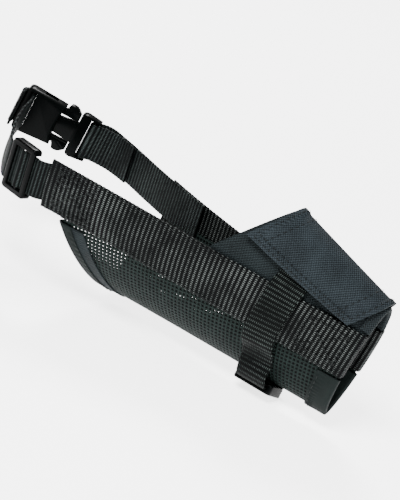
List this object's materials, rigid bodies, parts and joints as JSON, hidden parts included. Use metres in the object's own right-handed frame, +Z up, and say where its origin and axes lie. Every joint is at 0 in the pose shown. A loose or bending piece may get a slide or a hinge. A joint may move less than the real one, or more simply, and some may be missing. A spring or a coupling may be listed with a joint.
{
  "type": "soft dog muzzle",
  "caption": "Soft tapered dog muzzle of mesh and woven nylon with webbing side bands, a nose loop strap with a slider, and a neck strap with a slider and a side-release buckle.",
  "frame": {"origin": "middle of the bounding box in plan, at its lowest point, under the muzzle between chin and buckle", "axes": "+X from the neck to the nose, +Z up, +Y to the wearer's left; the chin line is level"},
  "size_m": [0.2454, 0.0784, 0.0947],
  "materials": {
    "mesh": "open polyester mesh, near black",
    "woven_nylon": "coated woven nylon, dark blue-grey",
    "binding_tape": "smooth edge tape, dark grey-green",
    "webbing": "ribbed nylon webbing, charcoal",
    "acetal": "moulded acetal, black, half gloss"
  },
  "bodies": {
    "muzzle": {"mesh_panel": "mesh", "top_panel": "woven_nylon", "bridge_pad": "woven_nylon", "nose_binding_lower": "binding_tape", "nose_binding_upper": "binding_tape", "back_binding": "binding_tape", "side_webbing_right": "webbing", "side_webbing_left": "webbing", "neck_strap_right": "webbing", "neck_strap_left": "webbing", "nose_loop_strap": "webbing", "buckle_male": "acetal"},
    "buckle_socket": {"buckle_female": "acetal"},
    "prong_upper": {"buckle_prong_upper": "acetal"},
    "prong_lower": {"buckle_prong_lower": "acetal"},
    "neck_slider": {"neck_slider": "acetal"},
    "chin_slider": {"chin_slider": "acetal"}
  },
  "joints": [
    {"name": "buckle_release", "type": "slide", "parent": "muzzle", "child": "buckle_socket", "axis": [-0.8494, -0.4996, 0.1699], "range_m": [0, 0.018], "deforming": ["neck_strap_right"]},
    {"name": "prong_upper_squeeze", "type": "hinge", "parent": "muzzle", "child": "prong_upper", "pos_m": [-0.09181, 0.02781, 0.06963], "axis": [0.507, -0.8619, 0], "range_deg": [0, 5], "stiffness_Nm_per_rad": 0.5},
    {"name": "prong_lower_squeeze", "type": "hinge", "parent": "muzzle", "child": "prong_lower", "pos_m": [-0.09415, 0.02643, 0.05386], "axis": [0.507, -0.8619, 0], "range_deg": [-5, 0], "stiffness_Nm_per_rad": 0.5},
    {"name": "neck_slider_slide", "type": "slide", "parent": "muzzle", "child": "neck_slider", "axis": [-0.9755, 0.2201, 0], "range_m": [-0.0028, 0.0028]},
    {"name": "chin_slider_slide", "type": "slide", "parent": "muzzle", "child": "chin_slider", "axis": [0, -0.9404, 0.3401], "range_m": [-0.002, 0.002]}
  ],
  "couplings": [
    {"joint": "prong_lower_squeeze", "follows": "prong_upper_squeeze", "ratio": -1}
  ]
}
